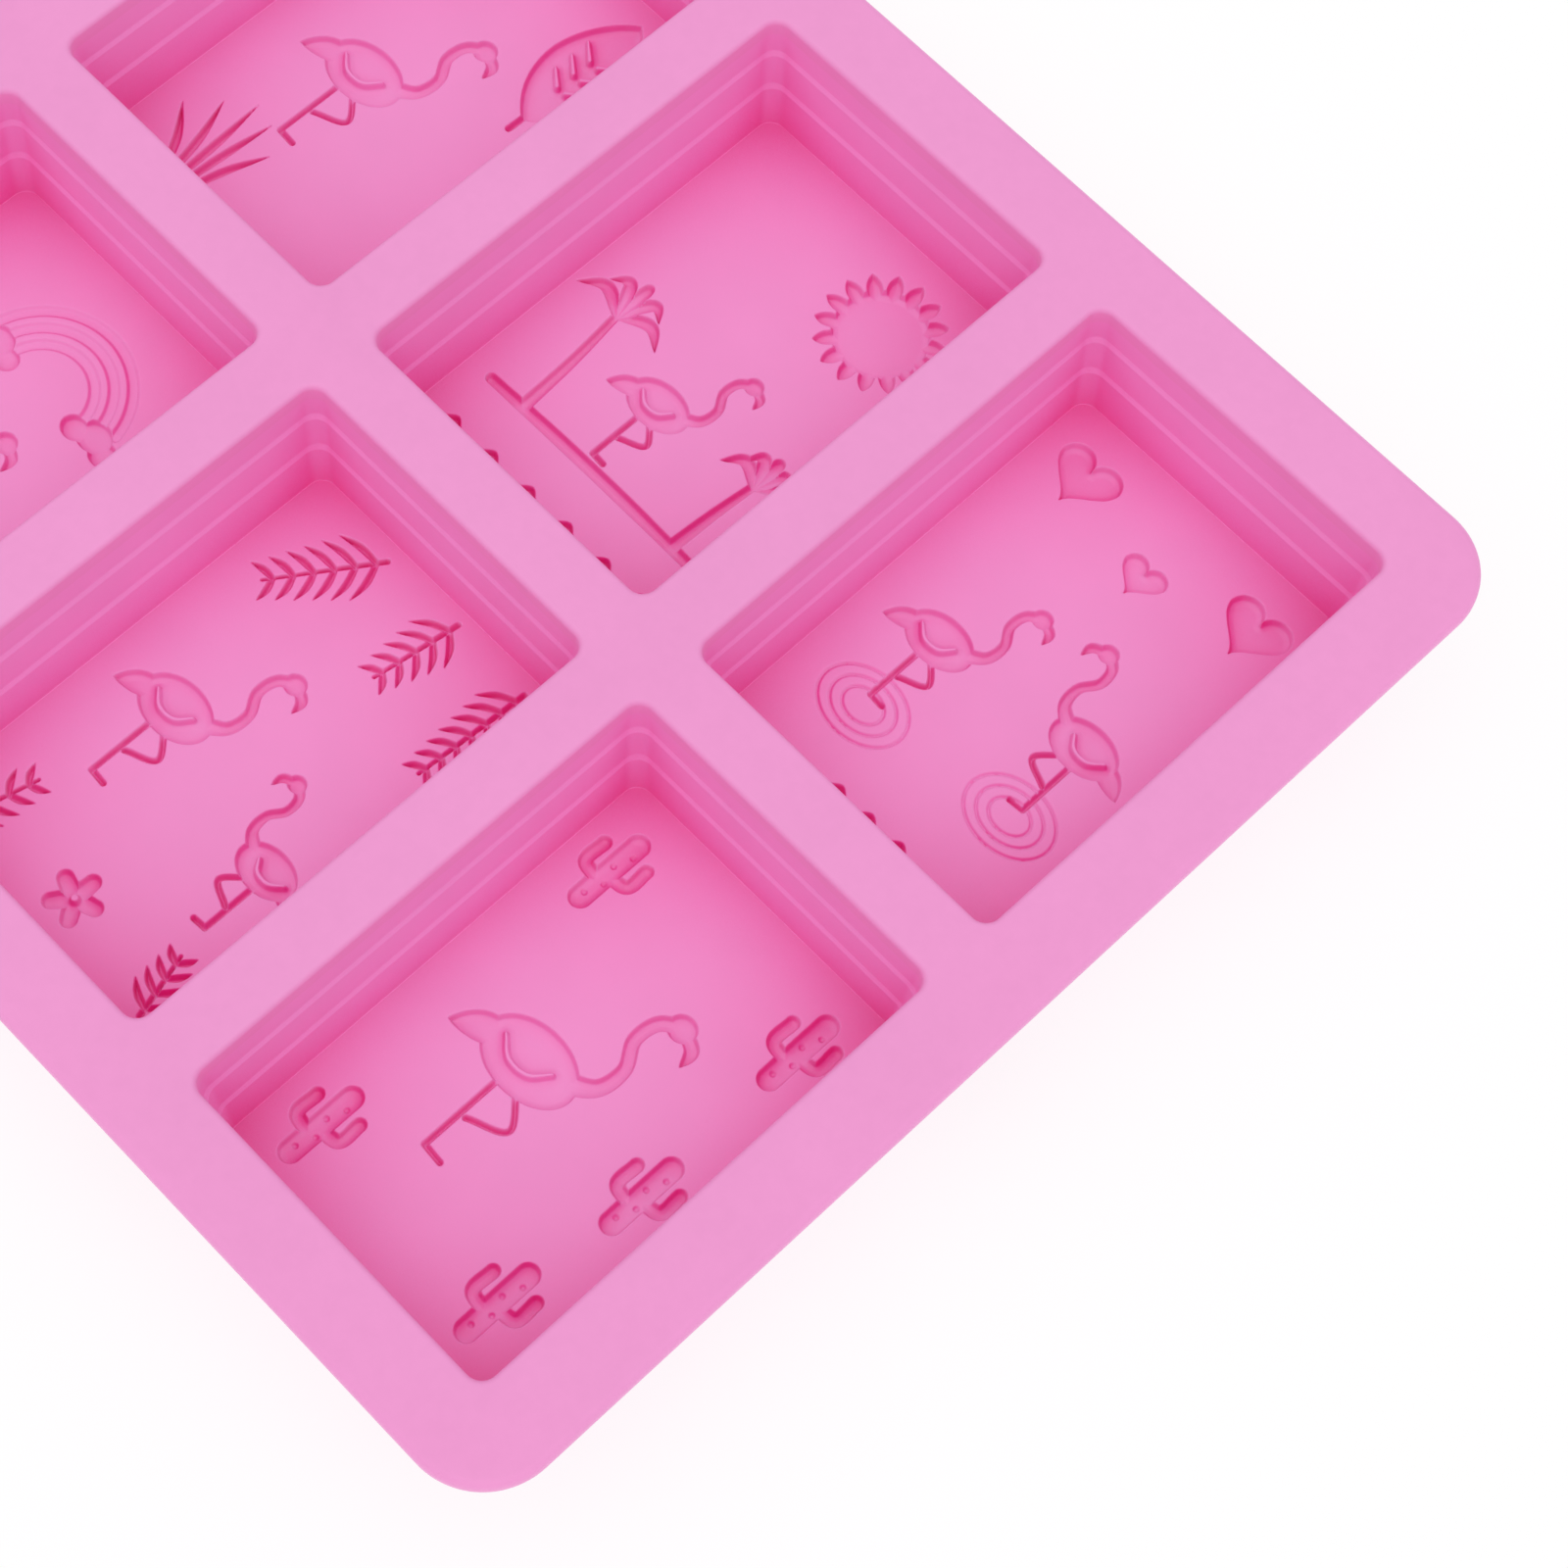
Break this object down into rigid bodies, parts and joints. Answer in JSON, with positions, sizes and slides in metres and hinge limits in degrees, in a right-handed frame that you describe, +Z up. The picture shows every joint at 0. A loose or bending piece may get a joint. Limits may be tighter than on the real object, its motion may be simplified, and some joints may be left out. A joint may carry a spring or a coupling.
{
  "type": "soap mould",
  "caption": "Flat silicone tray mould for soap bars: a thin deck carrying open rectangular cups with stepped walls and a sunk tropical picture in each floor.",
  "frame": {"origin": "under the middle of the tray, on the plane that the cups stand on", "axes": "+Z up out of the cavities, +X along the three columns, +Y along the two rows"},
  "size_m": [0.2142, 0.1942, 0.026],
  "materials": {
    "silicone": "soft satin, opaque, coloured through"
  },
  "bodies": {
    "root": {"top_deck": "silicone", "cup_wall_flamingo_leaf": "silicone", "cup_wall_flamingo_palm": "silicone", "cup_wall_flamingo_hearts": "silicone", "cup_wall_flamingo_rainbow": "silicone", "cup_wall_flamingo_fern": "silicone", "cup_wall_flamingo_cactus": "silicone", "cup_floor_flamingo_leaf": "silicone", "cup_floor_flamingo_palm": "silicone", "cup_floor_flamingo_hearts": "silicone", "cup_floor_flamingo_rainbow": "silicone", "cup_floor_flamingo_fern": "silicone", "cup_floor_flamingo_cactus": "silicone"}
  },
  "joints": []
}
